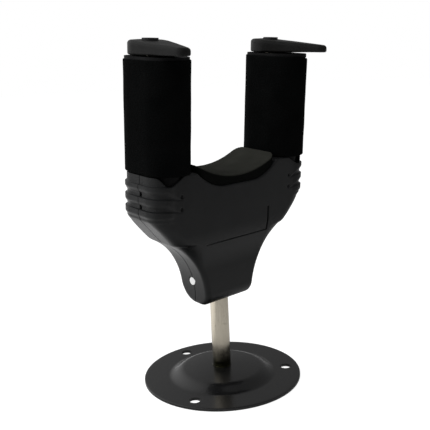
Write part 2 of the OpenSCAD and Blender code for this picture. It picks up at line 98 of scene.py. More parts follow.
def surface(name, field, xs, ys, zs, matrix=TO_WORLD):
    """Quad mesh of the surface where field is 0, with its points pulled onto that surface."""
    axes = [np.asarray(a, float) for a in (xs, ys, zs)]
    shape = tuple(len(a) for a in axes)
    values = np.broadcast_to(
        field(axes[0][:, None, None], axes[1][None, :, None], axes[2][None, None, :]), shape
    )
    inside = values < 0
    cells = tuple(n - 1 for n in shape)
    count = np.zeros(np.prod(cells))
    total = np.zeros((3, np.prod(cells)))
    quads = []
    for axis in range(3):
        u, v = (axis + 1) % 3, (axis + 2) % 3
        low = [slice(None)] * 3
        high = [slice(None)] * 3
        low[axis] = slice(0, -1)
        high[axis] = slice(1, None)
        crossing = inside[tuple(low)] != inside[tuple(high)]
        index = np.array(np.nonzero(crossing))
        far = index.copy()
        far[axis] += 1
        a, b = values[tuple(index)], values[tuple(far)]
        t = a / (a - b)
        point = np.array([axes[k][index[k]] for k in range(3)])
        point[axis] += t * (axes[axis][far[axis]] - axes[axis][index[axis]])
        around = []
        for du, dv in ((-1, -1), (0, -1), (0, 0), (-1, 0)):
            cell = index.copy()
            cell[u] += du
            cell[v] += dv
            flat = np.ravel_multi_index(tuple(cell), cells)
            count += np.bincount(flat, minlength=len(count))
            for k in range(3):
                total[k] += np.bincount(flat, weights=point[k], minlength=len(count))
            around.append(flat)
        ring = np.stack(around, 1)
        ring[a > 0] = ring[a > 0][:, ::-1]
        quads.append(ring)
    quads = np.concatenate(quads)
    used = np.nonzero(count)[0]
    place = np.full(len(count), -1)
    place[used] = np.arange(len(used))
    verts = (total[:, used] / count[used]).T
    step = 0.03
    reach = 0.3 * max(np.diff(a).max() for a in axes)
    for _ in range(4):
        x, y, z = verts.T
        f = field(x, y, z)
        slope = np.stack([
            field(x + step, y, z) - field(x - step, y, z),
            field(x, y + step, z) - field(x, y - step, z),
            field(x, y, z + step) - field(x, y, z - step),
        ], 1) / (2 * step)
        size = np.maximum((slope ** 2).sum(1), 0.2)
        move = -(f / size)[:, None] * slope
        length = np.maximum(np.linalg.norm(move, axis=1), 1e-9)
        verts = verts + move * np.minimum(1, reach / length)[:, None]
    return quads_to_mesh(name, verts, place[quads], matrix)


def both(a, b, r):
    """What is inside both a and b, with the edge between them rounded to radius r."""
    return np.minimum(-r, np.maximum(a, b)) + np.hypot(np.maximum(a + r, 0), np.maximum(b + r, 0))


def either(a, b, r):
    """What is inside a or b, with a fillet of radius r between them."""
    return -both(-a, -b, r)


def without(a, b, r):
    """What is inside a and outside b, with a rounded edge."""
    return both(a, -b, r)


def ease(t):
    """Smooth step from 0 to 1."""
    t = np.clip(t, 0, 1)
    return t * t * (3 - 2 * t)


FINE_STEP = 0.16
FINE_REACH = 0.8


def spread(low, high, step, fine=()):
    """Even grid lines from low to high, closer together near each place in fine."""
    lines = list(np.arange(low, high + step, step))
    for place in fine:
        lines = [v for v in lines if abs(v - place) > FINE_REACH]
        lines += list(np.arange(place - FINE_REACH, place + FINE_REACH + 1e-6, FINE_STEP))
    return np.array(sorted(lines))


# ---------- Yoke body ----------

# Millimetres, with the yoke in line with the rod; TO_WORLD leans it
PIVOT_Z = PIVOT.z / MM
NECK_HALF = 16.0
FLANK_R = 38.0
FLANK_Z = PIVOT_Z - 10
FLANK_END = math.radians(64)
FLARE_Z = 94.0
SHOULDER_HALF = 50.0
NECK_LOW = PIVOT_Z - 12.3
NECK_TOP = 64.0
NECK_DEPTH = 10.4
ROUND_FRONT = 7.0
PARTING_Y = -1.0
SPLIT_GAP = 0.05
SHOULDER_DEPTH = 14.1
SHOULDER_Z = 114.5
SADDLE_Z = 106.1
SADDLE_FLAT = 9.0
SADDLE_HALF = 27.0
SADDLE_RISE = 8.2
CAVITY_TOP = 104.8
WALL = 2.0
SADDLE_WALL = 2.4
ARM_X = 38.9
ARM_HALF = 5.6
SEAT_R = 9.6
SEAT_Z = 110.0
SEAT_DEPTH = 13.3
CORE_R = 7.9
ROD_SLOT_R = 5.25
PIN_HOLE_R = 2.05
POSTS = [(side * x, z) for side in (-1, 1) for x, z in ((28, 91), (14.5, 70.5))]
POST_R = 4.1
SHELL_SCREW_R = 1.5
SHELL_HEAD_R = 2.95
SHELL_HEAD_Y = 8.0
RIB_OUT = 0.9
RIB_LOW = 95.0
RIB_HIGH = 110.6
RIB_GROOVES = ((98.75, 102.3), (104.55, 108.4))
# Small round notches where the grooves end on the front and back
NOTCH_X = 36.3
NOTCH_HEIGHTS = (98.9, 104.75)
NOTCH_DEPTH = 0.9
CLIP_HEIGHTS = (105.95, 100.1)
# Corner of the L-shaped groove on the front
PANEL_X = 21.4
PANEL_Z = 78.4
PANEL_DEPTH = 1.1

# Half width and half depth of the body by height: neck, arc, straight flare and shoulder
heights = np.arange(30, 130, 0.25)
up_arc = np.clip(heights - FLANK_Z, 0, FLANK_R * 0.9)
arc_x = NECK_HALF + FLANK_R - np.sqrt(FLANK_R ** 2 - up_arc ** 2)
arc_top_x = NECK_HALF + FLANK_R * (1 - math.cos(FLANK_END))
arc_top_z = FLANK_Z + FLANK_R * math.sin(FLANK_END)
flare_x = arc_top_x + (heights - arc_top_z) * (SHOULDER_HALF - arc_top_x) / (FLARE_Z - arc_top_z)
half_width = np.where(heights < arc_top_z, arc_x, np.minimum(flare_x, SHOULDER_HALF))
kernel = np.hanning(11)
kernel /= kernel.sum()
half_width = np.convolve(np.pad(half_width, len(kernel) // 2, mode="edge"), kernel, mode="valid")
width_slope = np.sqrt(1 + np.gradient(half_width, heights) ** 2)
deepening = (1 - np.cos(math.pi * np.clip((heights - NECK_TOP) / 22, 0, 1))) / 2
half_depth = NECK_DEPTH + (SHOULDER_DEPTH - NECK_DEPTH) * deepening
depth_slope = np.sqrt(1 + np.gradient(half_depth, heights) ** 2)


def from_flank(x, z):
    """Distance outside the flanks."""
    return (np.abs(x) - np.interp(z, heights, half_width)) / np.interp(z, heights, width_slope)


def from_front(y, z):
    """Distance outside the front, the back and the rounded lower end."""
    straight = (np.abs(y) - np.interp(z, heights, half_depth)) / np.interp(z, heights, depth_slope)
    return both(straight, NECK_LOW - z, np.where(y < 0, ROUND_FRONT, NECK_DEPTH))


def oval(x, y, r):
    """Distance to the oval section of an arm."""
    return np.hypot(np.abs(x) - ARM_X, np.maximum(np.abs(y) - ARM_HALF, 0)) - r


def groove_band(z, low, high, ledge, lead):
    """1 between low and high, with a short slope of length ledge below and lead above."""
    return np.clip(np.minimum((z - low) / ledge, (high - z) / lead), 0, 1)


def rib_relief(x, z):
    """How far the ribs stand out and the grooves between them sink in."""
    across = np.abs(x)
    side = ease((across - 39) / 7)
    turn = ease((across - 35.9) / 10)
    level = z + 1.4 * (1 - turn)
    crest = groove_band(z, RIB_LOW, RIB_HIGH, 1.4, 0.45)
    groove = 0
    for low, high in RIB_GROOVES:
        top = low + 0.7 + (high - low - 0.7) * turn
        groove = groove + groove_band(level, low, top, 0.45, 0.4 + 1.6 * turn)
    reach = np.clip((across - 35.6) / 1.2, 0, 1)
    notch = 0
    for middle in NOTCH_HEIGHTS:
        notch = notch + np.clip((1.0 - np.hypot(across - NOTCH_X, z - middle)) / 0.4, 0, 1)
    raised = side * RIB_OUT * crest * (1 - groove)
    sunk = (0.12 + 0.18 * (1 - side)) * reach * groove
    return raised - sunk - NOTCH_DEPTH * notch


def corner_radius(z):
    """Rounding between the flanks and the front and back, larger towards the shoulders."""
    return 2.5 + 3.7 * ease((z - NECK_TOP) / 16) + 2.3 * ease((z - 88) / 9)


def over_saddle(x, z):
    """Height above the saddle, which is flat in the middle and steepens to its ends."""
    run = np.clip(np.abs(x) - SADDLE_FLAT, 0, None) / (SADDLE_HALF - SADDLE_FLAT)
    slope = 2 * SADDLE_RISE * run / (SADDLE_HALF - SADDLE_FLAT)
    return (z - SADDLE_Z - SADDLE_RISE * run ** 2) / np.hypot(1, slope)


def body(x, y, z):
    """Outside of the closed yoke body."""
    skin = both(from_flank(x, z), from_front(y, z), corner_radius(z))
    skin = both(skin, z - SHOULDER_Z, 0.6)
    skin = without(skin, -over_saddle(x, z), 0.8)
    return skin - rib_relief(x, z)


def cavity(x, y, z):
    """Hollow inside of the body, without its screw posts."""
    inner_radius = np.maximum(corner_radius(z) - WALL, 0.6)
    hollow = both(from_flank(x, z) + WALL, from_front(y, z) + WALL, inner_radius)
    hollow = np.maximum(hollow, z - CAVITY_TOP)
    hollow = np.maximum(hollow, over_saddle(x, z) + SADDLE_WALL)
    for post_x, post_z in POSTS:
        hollow = np.maximum(hollow, POST_R - np.hypot(x - post_x, z - post_z))
    return hollow


def openings(x, y, z):
    """Seats of the arms, corner scoops, the rod's slot and the pin holes."""
    across, deep = np.abs(x), np.abs(y)
    seat = np.maximum(np.maximum(oval(x, y, SEAT_R), SEAT_Z - z), deep - SEAT_DEPTH)
    inner_rise = 4.6 * np.clip((42.8 - across) / 8.3, 0, 1.3) ** 1.3
    outer_rise = 4.7 * ease((across - 43.4) / 5.6)
    scoop = np.maximum(SEAT_Z + 0.2 + np.maximum(inner_rise, outer_rise) - z, 33 - across)
    stem = np.maximum(oval(x, y, CORE_R + 0.03), np.maximum(CAVITY_TOP - 1 - z, z - SEAT_Z - 1))
    stem = np.maximum(stem, deep - 12.9)
    slot = np.maximum(np.hypot(x, np.clip(y, -1.2, 1.0) - y) - ROD_SLOT_R, z - PIVOT_Z)
    pin = np.hypot(y, z - PIVOT_Z) - PIN_HOLE_R
    return np.minimum.reduce(np.broadcast_arrays(seat, scoop, stem, slot, pin))


def panel_groove(x, z):
    """Depth of the L-shaped groove on the front."""
    upright = np.maximum(np.abs(x - PANEL_X) - 0.6, np.maximum(78.1 - z, z - 91))
    level = np.maximum(np.abs(z - PANEL_Z) - 0.42, np.maximum(-20.5 - x, x - 21.7))
    fade = ease((x + 21) / 16)
    deep = PANEL_DEPTH * np.clip(-upright / 0.25, 0, 1)
    return np.maximum(deep, (0.2 + 0.25 * fade) * np.clip(-level / 0.3, 0, 1))


def clip_notches(x, y, z):
    """Small pockets beside the parting line, in the grooves of the ribs."""
    notch = 1e3
    for middle in CLIP_HEIGHTS:
        box = np.maximum(np.abs(y + 1.7) - 0.6, np.abs(z - middle) - 0.95)
        notch = np.minimum(notch, np.maximum(box, SHOULDER_HALF - 1 - np.abs(x)))
    return notch


def front_half(x, y, z):
    """Front shell, with the panel's groove on its face."""
    shell = body(x, y, z) + np.where(y < -5, panel_groove(x, z), 0)
    shell = without(shell, clip_notches(x, y, z), 0.15)
    shell = np.maximum(shell, -cavity(x, y, z))
    shell = without(shell, openings(x, y, z), 0.3)
    return both(shell, y - PARTING_Y + SPLIT_GAP, 0.25)


def back_half(x, y, z):
    """Back shell, with the holes of its four screws."""
    shell = np.maximum(body(x, y, z), -cavity(x, y, z))
    shell = without(shell, openings(x, y, z), 0.3)
    for post_x, post_z in POSTS:
        away = np.hypot(x - post_x, z - post_z)
        shell = without(shell, np.maximum(away - SHELL_HEAD_R, SHELL_HEAD_Y - y), 0.3)
        shell = np.maximum(shell, SHELL_SCREW_R - away)
    return both(shell, PARTING_Y + SPLIT_GAP - y, 0.25)


GRID = 0.42
GRID_X = 52.2
GRID_Y = 15.9
near_split = np.array([-0.7, -0.45, -0.25, -0.1, 0.05, 0.25])
grid_z = spread(42.5, 115.4, GRID, fine=(PANEL_Z, 98.95, 104.75, 110.45))
front_x = spread(-GRID_X, GRID_X, GRID, fine=(PANEL_X,))
front_y = np.concatenate([np.arange(-GRID_Y, PARTING_Y - 0.9, GRID), PARTING_Y + near_split])
front_cover = surface("front_cover", front_half, front_x, front_y, grid_z)
back_x = spread(-GRID_X, GRID_X, GRID)
back_y = np.concatenate([PARTING_Y - near_split[::-1], np.arange(PARTING_Y + 1.1, GRID_Y, GRID)])
back_cover = surface("back_cover", back_half, back_x, back_y, grid_z)
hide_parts("front_shell")
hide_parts("back_shell")

# ---------- Saddle pad ----------

PAD_Z = 110.2
PAD_R = 50.0
PAD_HALF_X = 26.1
PAD_HALF_Y = 13.7


def pad(x, y, z):
    """Cushion on the saddle, with a round top that swells a little in the middle."""
    under = 0.03 - over_saddle(x, z)
    swell = 0.35 * (1 - (y / PAD_HALF_Y) ** 2) * (1 - (x / PAD_HALF_X) ** 2)
    over = PAD_R - swell - np.hypot(x, z - PAD_Z - PAD_R)
    sides = both(np.abs(x) - PAD_HALF_X, np.abs(y) - PAD_HALF_Y, 4.5)
    return both(both(over, sides, 0.45), under, 0.3)


pad_lines = [spread(start, stop, 0.42) for start, stop in ((-27.2, 27.2), (-14.7, 14.7), (105, 120))]
saddle = surface("saddle_cushion", pad, *pad_lines)
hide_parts("saddle_pad")

# ---------- Gates ----------

GATE_Y = 4.4
GATE_REACH = 28.0
GATE_R = 10.0
GATE_TIP_R = 3.6
GATE_OPEN = math.radians(11)
GATE_BOTTOM = 166.1
GATE_TOP = 172.7
GATE_BOSS_R = 5.9
GATE_BOSS_Z = 165.75
POCKET_R = 3.8
POCKET_Z = GATE_TOP - 2.4
GATE_SCREW_R = 1.6
SHAFT_BORE_R = 3.02


def teardrop(u, v):
    """Distance to the gate's outline, seen from above."""
    v = np.abs(v)
    b = (GATE_R - GATE_TIP_R) / GATE_REACH
    a = math.sqrt(1 - b * b)
    k = -v * b + u * a
    body_side = v * a + u * b - GATE_R
    near = np.hypot(u, v) - GATE_R
    tip = np.hypot(u - GATE_REACH, v) - GATE_TIP_R
    return np.where(k < 0, near, np.where(k > a * GATE_REACH, tip, body_side))


def gate_field(u, v, z):
    """A gate that points along u, with its shaft at the origin."""
    along = np.clip((u + POCKET_R) / (GATE_REACH + GATE_TIP_R + POCKET_R), 0, 1)
    top = GATE_TOP - 2.7 * along - 0.35 * ease((-u - 2) / 8)
    low = GATE_BOTTOM + 0.6 * ease((u - 6) / 24)
    crown = 0.5 * (v / GATE_R) ** 2
    shape = both(teardrop(u, v), z - top + crown, 1.5)
    shape = both(shape, low - z, 0.8)
    away = np.hypot(u, v)
    stub = both(away - GATE_BOSS_R, GATE_BOSS_Z - z, 0.3)
    stub = np.maximum(stub, z - GATE_BOTTOM - 1.5)
    shape = either(shape, stub, 0.25)
    shape = without(shape, np.maximum(away - POCKET_R, POCKET_Z - z), 0.3)
    shape = np.maximum(shape, GATE_SCREW_R - away)
    return np.maximum(shape, -np.maximum(away - SHAFT_BORE_R, z - POCKET_Z + 1))


def make_gate(side):
    name = "left" if side < 0 else "right"
    turn = math.radians(-90) + side * GATE_OPEN
    place = TO_WORLD @ Matrix.Translation((side * ARM_X, GATE_Y, 0)) @ Matrix.Rotation(turn, 4, "Z")
    lines = [spread(start, stop, 0.3) for start, stop in ((-11, 32.6), (-11, 11), (165, 173.6))]
    obj = surface(name + "_gate_arm", gate_field, *lines, place)
    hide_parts(name + "_gate")
    return obj


gates = {side: make_gate(side) for side in (-1, 1)}

# ---------- Foam sleeves ----------

FOAM_LOW = 114.82
FOAM_HIGH = 164.5
FOAM_R = 11.4
CORE_TOP = 163.8
PLATE_SEAT_R = 10.85
# How far the outer side of each sleeve's upper rim has crept down
SAG = {-1: 0.2, 1: 1.5}


def arc(cx, cz, r, start, end, count):
    """Points of an arc from start to end, in degrees."""
    turns = [math.radians(start + (end - start) * i / count) for i in range(count + 1)]
    return [(cx + r * math.cos(a), cz + r * math.sin(a)) for a in turns]


def foam_sleeve(side):
    """Oval tube of soft foam: rounded rims and a slightly uneven surface."""
    name = "left" if side < 0 else "right"
    low_edge, high_edge = 0.5, 0.45
    inner = CORE_R + 0.02
    outline = [(inner, FOAM_LOW)]
    outline += arc(FOAM_R - low_edge, FOAM_LOW + low_edge, low_edge, -90, 0, 6)
    outline += [(FOAM_R, z) for z in np.linspace(FOAM_LOW + low_edge, FOAM_HIGH - low_edge, 60)[1:-1]]
    outline += arc(FOAM_R - high_edge, FOAM_HIGH - high_edge, high_edge, 0, 90, 4)
    outline += [(PLATE_SEAT_R, FOAM_HIGH), (PLATE_SEAT_R, CORE_TOP), (inner, CORE_TOP)]
    round_steps, straight_steps = 44, 10
    # Each point of the rim is its centre's y and the direction that it faces
    rim = []
    for end in (1, -1):
        for i in range(round_steps + 1):
            a = math.pi * i / round_steps
            rim.append((end * ARM_HALF, end * math.cos(a), end * math.sin(a)))
        for i in range(1, straight_steps):
            t = 1 - 2 * i / straight_steps
            rim.append((end * ARM_HALF * t, -end, 0))
    rng = np.random.default_rng(11 + side)
    waves = [(rng.uniform(0.08, 0.5, 3) * rng.choice([-1, 1], 3), rng.uniform(0, 6.28)) for _ in range(9)]
    verts, faces = [], []
    for r, z in outline:
        outer = r > PLATE_SEAT_R + 0.1
        for cy, nx, ny in rim:
            sag = SAG[side] * float(ease((side * nx + 0.3) / 1.3)) * float(ease((z - 150) / 13))
            bump = 0
            if outer:
                p = np.array([r * nx, cy + r * ny, z])
                bump = 0.014 * sum(math.sin(float(k @ p) + phase) for k, phase in waves)
            verts.append((side * ARM_X + (r + bump) * nx, cy + (r + bump) * ny, z - sag))
    n, rows = len(rim), len(outline)
    for j in range(rows):
        for i in range(n):
            a, b = j * n + i, j * n + (i + 1) % n
            c, d = ((j + 1) % rows) * n + (i + 1) % n, ((j + 1) % rows) * n + i
            faces.append((a, b, c, d))
    obj = new_mesh(name + "_foam_tube", verts, faces, TO_WORLD, sharp=50)
    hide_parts(name + "_foam_sleeve")
    return obj


foams = {side: foam_sleeve(side) for side in (-1, 1)}

# ---------- Wall plate ----------

PLATE_R = 41.0
PLATE_T = 1.5
PLATE_BORE_R = 3.55
PLATE_EDGE_R = 0.4
HOLE_CIRCLE_R = 34.0
# Degrees from +X to the first hole
HOLE_START = 83
HOLE_R = 2.85


def plate_height(r):
    """Top face of the pressed plate."""
    rise = ease((28.3 - r) / 8.2)
    crown = 1.05 * (1 - np.clip(r / 21, 0, 1) ** 2)
    return PLATE_T + 3.45 * rise + crown * ease((26 - r) / 6)


def wall_plate():
    """Pressed disc, turned from its outline, with three screw holes."""
    segments = 192
    outline = []
    top = [np.linspace(PLATE_BORE_R, 19, 12), np.linspace(19.6, 30, 30), np.linspace(31, 40.6, 8)]
    for r in np.concatenate(top):
        outline.append((r, float(plate_height(r))))
    outline += arc(PLATE_R - PLATE_EDGE_R, PLATE_T - PLATE_EDGE_R, PLATE_EDGE_R, 75, 0, 4)
    outline += arc(PLATE_R - 0.25, 0.25, 0.25, 0, -90, 3)
    under = [np.linspace(40, 30, 8), np.linspace(29.4, 18.5, 30), np.linspace(17, PLATE_BORE_R, 8)]
    for r in np.concatenate(under):
        outline.append((r, max(0.0, float(plate_height(min(r + 0.6, PLATE_R))) - PLATE_T)))
    bm = bmesh.new()
    turns = [2 * math.pi * i / segments for i in range(segments)]
    rings = []
    for r, z in outline:
        rings.append([bm.verts.new((r * math.cos(a), r * math.sin(a), z)) for a in turns])
    for j, ring in enumerate(rings):
        after = rings[(j + 1) % len(rings)]
        for i in range(segments):
            k = (i + 1) % segments
            bm.faces.new((ring[i], ring[k], after[k], after[i]))
    bmesh.ops.recalc_face_normals(bm, faces=bm.faces)
    mesh = bpy.data.meshes.new("wall_disc")
    bm.to_mesh(mesh)
    bm.free()
    mesh.transform(Matrix.Scale(MM, 4))
    obj = bpy.data.objects.new("wall_disc", mesh)
    bpy.context.scene.collection.objects.link(obj)
    for i in range(3):
        a = math.radians(HOLE_START - 120 * i)
        middle = (HOLE_CIRCLE_R * MM * math.cos(a), HOLE_CIRCLE_R * MM * math.sin(a), 0)
        bpy.ops.mesh.primitive_cylinder_add(vertices=64, radius=HOLE_R * MM, depth=6 * MM, location=middle)
        drill = bpy.context.object
        cut = obj.modifiers.new("hole", "BOOLEAN")
        cut.operation = "DIFFERENCE"
        cut.solver = "EXACT"
        cut.object = drill
        bpy.context.view_layer.objects.active = obj
        bpy.ops.object.modifier_apply(modifier=cut.name)
        bpy.data.objects.remove(drill)
    obj.data.polygons.foreach_set("use_smooth", [True] * len(obj.data.polygons))
    obj.data.set_sharp_from_angle(angle=math.radians(35))
    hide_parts("wall_plate")
    return obj


disc = wall_plate()

# ---------- Braze bead at the foot of the rod ----------

ROD_R = 4.75
BEAD_R = 0.3
BEAD_Z = 6.1


def foot_bead():
    """Ring of slightly uneven thickness."""
    rng = np.random.default_rng(5)
    steps, sides = 120, 10
    verts, faces = [], []
    swell = np.convolve(rng.uniform(0.6, 1.3, steps + 8), np.ones(9) / 9, mode="valid")
    for i in range(steps):
        a = 2 * math.pi * i / steps
        size = BEAD_R * swell[i]
        for k in range(sides):
            b = 2 * math.pi * k / sides
            r = ROD_R + size * math.cos(b)
            verts.append((r * math.cos(a), r * math.sin(a), BEAD_Z + size * math.sin(b)))
    for i in range(steps):
        for k in range(sides):
            a, b = i * sides + k, i * sides + (k + 1) % sides
            c, d = ((i + 1) % steps) * sides + (k + 1) % sides, ((i + 1) % steps) * sides + k
            faces.append((a, d, c, b))
    return new_mesh("rod_foot_bead", verts, faces, Matrix.Scale(MM, 4))


bead = foot_bead()

# ---------- Return spring ----------

COIL_Z = 82.0
COIL_R = 3.8
COIL_WIRE_R = 0.5
COIL_TURNS = 6.5
COIL_BACK = 1.65
COIL_FRONT = -13.62


def return_coil():
    """Helix from the lever to the front cover."""
    steps, sides = 260, 12
    verts, faces = [], []
    for i in range(steps + 1):
        f = i / steps
        a = 2 * math.pi * COIL_TURNS * f
        y = COIL_BACK + (COIL_FRONT - COIL_BACK) * f
        for k in range(sides):
            b = 2 * math.pi * k / sides
            r = COIL_R + COIL_WIRE_R * math.cos(b)
            verts.append((r * math.cos(a), y + COIL_WIRE_R * math.sin(b), COIL_Z + r * math.sin(a)))
    for i in range(steps):
        for k in range(sides):
            a, b = i * sides + k, i * sides + (k + 1) % sides
            faces.append((a, a + sides, b + sides, b))
    faces.append(tuple(range(sides)))
    faces.append(tuple(steps * sides + k for k in reversed(range(sides))))
    return new_mesh("return_coil", verts, faces, Matrix.Scale(MM, 4), sharp=60)


coil = return_coil()
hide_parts("return_spring")

# ---------- Materials ----------


class Look:
    """A Principled material and short calls to wire procedural nodes into it."""

    def __init__(self, name, **sockets):
        self.mat = bpy.data.materials.new(name)
        self.mat.use_nodes = True
        self.tree = self.mat.node_tree
        self.shader = self.tree.nodes["Principled BSDF"]
        self.place = self.tree.nodes.new("ShaderNodeTexCoord").outputs["Object"]
        for key, value in sockets.items():
            self.shader.inputs[key.replace("_", " ")].default_value = value

    def link(self, a, b):
        self.tree.links.new(a, b)

    def noise(self, scale, detail=4.0, stretch=None, rough=0.5):
        node = self.tree.nodes.new("ShaderNodeTexNoise")
        node.inputs["Scale"].default_value = scale
        node.inputs["Detail"].default_value = detail
        node.inputs["Roughness"].default_value = rough
        source = self.place
        if stretch:
            warp = self.tree.nodes.new("ShaderNodeMapping")
            warp.inputs["Scale"].default_value = stretch
            self.link(source, warp.inputs["Vector"])
            source = warp.outputs["Vector"]
        self.link(source, node.inputs["Vector"])
        return node.outputs["Fac"]

    def cells(self, scale):
        node = self.tree.nodes.new("ShaderNodeTexVoronoi")
        node.inputs["Scale"].default_value = scale
        self.link(self.place, node.inputs["Vector"])
        return node.outputs["Distance"]

    def remap(self, value, low, high, to_low, to_high):
        node = self.tree.nodes.new("ShaderNodeMapRange")
        node.clamp = True
        for key, number in (("From Min", low), ("From Max", high), ("To Min", to_low), ("To Max", to_high)):
            node.inputs[key].default_value = number
        self.link(value, node.inputs["Value"])
        return node.outputs["Result"]

    def math(self, kind, a, b):
        node = self.tree.nodes.new("ShaderNodeMath")
        node.operation = kind
        for socket, value in zip(node.inputs, (a, b)):
            if isinstance(value, (int, float)):
                socket.default_value = value
            else:
                self.link(value, socket)
        return node.outputs["Value"]

    def mix(self, fac, a, b):
        node = self.tree.nodes.new("ShaderNodeMix")
        node.data_type = "RGBA"
        self.link(fac, node.inputs["Factor"])
        for socket, value in ((node.inputs[6], a), (node.inputs[7], b)):
            if isinstance(value, tuple):
                socket.default_value = (*value, 1)
            else:
                self.link(value, socket)
        return node.outputs[2]

    def coordinate(self, axis):
        split = self.tree.nodes.new("ShaderNodeSeparateXYZ")
        self.link(self.place, split.inputs[0])
        return split.outputs[axis]

    def yoke_radius(self, centre):
        """Distance from the line along X at height centre, measured square to the leaning yoke."""
        dot = self.tree.nodes.new("ShaderNodeVectorMath")
        dot.operation = "DOT_PRODUCT"
        dot.inputs[1].default_value = (0, -math.sin(LEAN), math.cos(LEAN))
        self.link(self.place, dot.inputs[0])
        height = self.math("ADD", dot.outputs["Value"], PIVOT.z * (1 - math.cos(LEAN)) - centre)
        across = self.coordinate("X")
        square = self.math("ADD", self.math("POWER", across, 2), self.math("POWER", height, 2))
        return self.math("SQRT", square, 0)

    def colour(self, value):
        self.link(value, self.shader.inputs["Base Color"])

    def rough(self, value):
        self.link(value, self.shader.inputs["Roughness"])

    def bump(self, *layers):
        """Each layer is (height, distance in metres)."""
        normal = None
        for height, distance in layers:
            node = self.tree.nodes.new("ShaderNodeBump")
            node.inputs["Distance"].default_value = distance
            self.link(height, node.inputs["Height"])
            if normal is not None:
                self.link(normal, node.inputs["Normal"])
            normal = node.outputs["Normal"]
        self.link(normal, self.shader.inputs["Normal"])


def shell_plastic():
    look = Look("shell_plastic", Specular_IOR_Level=0.23)
    blotch = look.noise(60, 3)
    grain = look.noise(5200, 2, rough=0.6)
    scuffs = look.noise(900, 5, stretch=(1, 1, 6))
    dark, light = (0.0058, 0.0061, 0.0064), (0.0082, 0.0085, 0.0089)
    tone = look.mix(look.remap(blotch, 0.35, 0.65, 0, 1), dark, light)
    look.colour(look.mix(look.remap(scuffs, 0.66, 0.78, 0, 0.35), tone, (0.03, 0.03, 0.031)))
    worn = look.remap(scuffs, 0.55, 0.8, 0, 0.1)
    look.rough(look.math("ADD", look.remap(blotch, 0.3, 0.7, 0.32, 0.39), worn))
    look.bump((grain, 0.000035), (look.noise(1500, 2), 0.00003))
    return look.mat


def gate_plastic():
    look = Look("gate_plastic", Specular_IOR_Level=0.15)
    blotch = look.noise(120, 3)
    grain = look.noise(4800, 2, rough=0.6)
    dark, light = (0.0050, 0.0050, 0.0049), (0.0078, 0.0078, 0.0076)
    tone = look.mix(look.remap(blotch, 0.35, 0.65, 0, 1), dark, light)
    look.colour(look.mix(look.remap(grain, 0.55, 0.8, 0, 0.4), tone, (0.016, 0.016, 0.0155)))
    look.rough(look.remap(blotch, 0.3, 0.7, 0.36, 0.44))
    look.bump((grain, 0.00005), (look.noise(1300, 2), 0.00003))
    return look.mat


def foam():
    look = Look("foam", Specular_IOR_Level=0.02)
    pores = look.cells(2600)
    coarse = look.cells(1150)
    blotch = look.noise(90, 4)
    dark, light = (0.0015, 0.0017, 0.0017), (0.0027, 0.0029, 0.0029)
    tone = look.mix(look.remap(blotch, 0.3, 0.7, 0, 1), dark, light)
    look.colour(look.mix(look.remap(pores, 0.05, 0.35, 0.55, 0), tone, (0.0010, 0.0010, 0.0010)))
    look.rough(look.remap(pores, 0, 0.6, 0.95, 0.8))
    look.bump((pores, 0.00012), (coarse, 0.00010), (blotch, 0.0002))
    return look.mat


def pad_rubber():
    """Olive-grey top with painted shade on its sides: near-black below the top, told apart by the distance
    below the curved top.
    """
    look = Look("pad_rubber", Specular_IOR_Level=0.03)
    grain = look.cells(2100)
    fine = look.noise(5000, 3)
    blotch = look.noise(110, 4)
    dark, light = (0.020, 0.0205, 0.0175), (0.028, 0.0285, 0.0245)
    skin = look.mix(look.remap(blotch, 0.3, 0.7, 0, 1), dark, light)
    skin = look.mix(look.remap(grain, 0.05, 0.4, 0.4, 0), skin, (0.010, 0.010, 0.008))
    # Painted shade: near-black on the pad's sides, from a little below the curved top
    from_centre = look.yoke_radius((PAD_Z + PAD_R) * MM)
    under = look.remap(from_centre, (PAD_R + 0.3) * MM, (PAD_R + 0.6) * MM, 0, 1)
    look.colour(look.mix(under, skin, (0.0030, 0.0034, 0.0030)))
    look.rough(look.remap(fine, 0.3, 0.7, 0.72, 0.86))
    look.bump((grain, 0.00009), (fine, 0.00003))
    return look.mat


def plate_paint():
    look = Look("plate_paint", Coat_Weight=0.15, Coat_Roughness=0.08)
    peel = look.noise(700, 2)
    blotch = look.noise(45, 4)
    specks = look.noise(2600, 3)
    dark, light = (0.0045, 0.0045, 0.0048), (0.0065, 0.0065, 0.0067)
    tone = look.mix(look.remap(blotch, 0.3, 0.7, 0, 1), dark, light)
    look.colour(look.mix(look.remap(specks, 0.72, 0.8, 0, 0.5), tone, (0.04, 0.04, 0.04)))
    gritty = look.remap(specks, 0.6, 0.8, 0, 0.06)
    look.rough(look.math("ADD", look.remap(blotch, 0.3, 0.7, 0.2, 0.26), gritty))
    look.bump((peel, 0.00006), (specks, 0.000012))
    return look.mat


def brushed(name, low, high, rough, stretch=(1, 1, 0.03), depth=0.00003, scale=4200, foot=False):
    """Drawn or turned metal; with foot, a painted reflection of the black plate darkens it to olive just
    above the floor.
    """
    look = Look(name, Metallic=1.0)
    lines = look.noise(scale, 3, stretch=stretch)
    blotch = look.noise(150, 4)
    tarnish_and_reflection_noise = look.noise(520, 5)
    tone = look.mix(look.remap(lines, 0.35, 0.65, 0, 1), low, high)
    dull = tuple(0.55 * c for c in low)
    tone = look.mix(look.remap(tarnish_and_reflection_noise, 0.6, 0.8, 0, 0.5), tone, dull)
    if foot:
        # Painted reflection of the black plate: dark olive low on the rod, varied by the same noise as the
        # tarnish
        dark, light = (0.012, 0.012, 0.008), (0.060, 0.060, 0.030)
        painted_plate_reflection = look.mix(look.remap(tarnish_and_reflection_noise, 0.35, 0.65, 0, 1), dark, light)
        tone = look.mix(look.remap(look.coordinate("Z"), 0.0085, 0.019, 1, 0), tone, painted_plate_reflection)
    look.colour(tone)
    scratched = look.remap(lines, 0.3, 0.7, 0, 0.08)
    look.rough(look.math("ADD", look.remap(blotch, 0.3, 0.7, rough, rough + 0.07), scratched))
    look.bump((lines, depth), (blotch, 0.00002))
    return look.mat


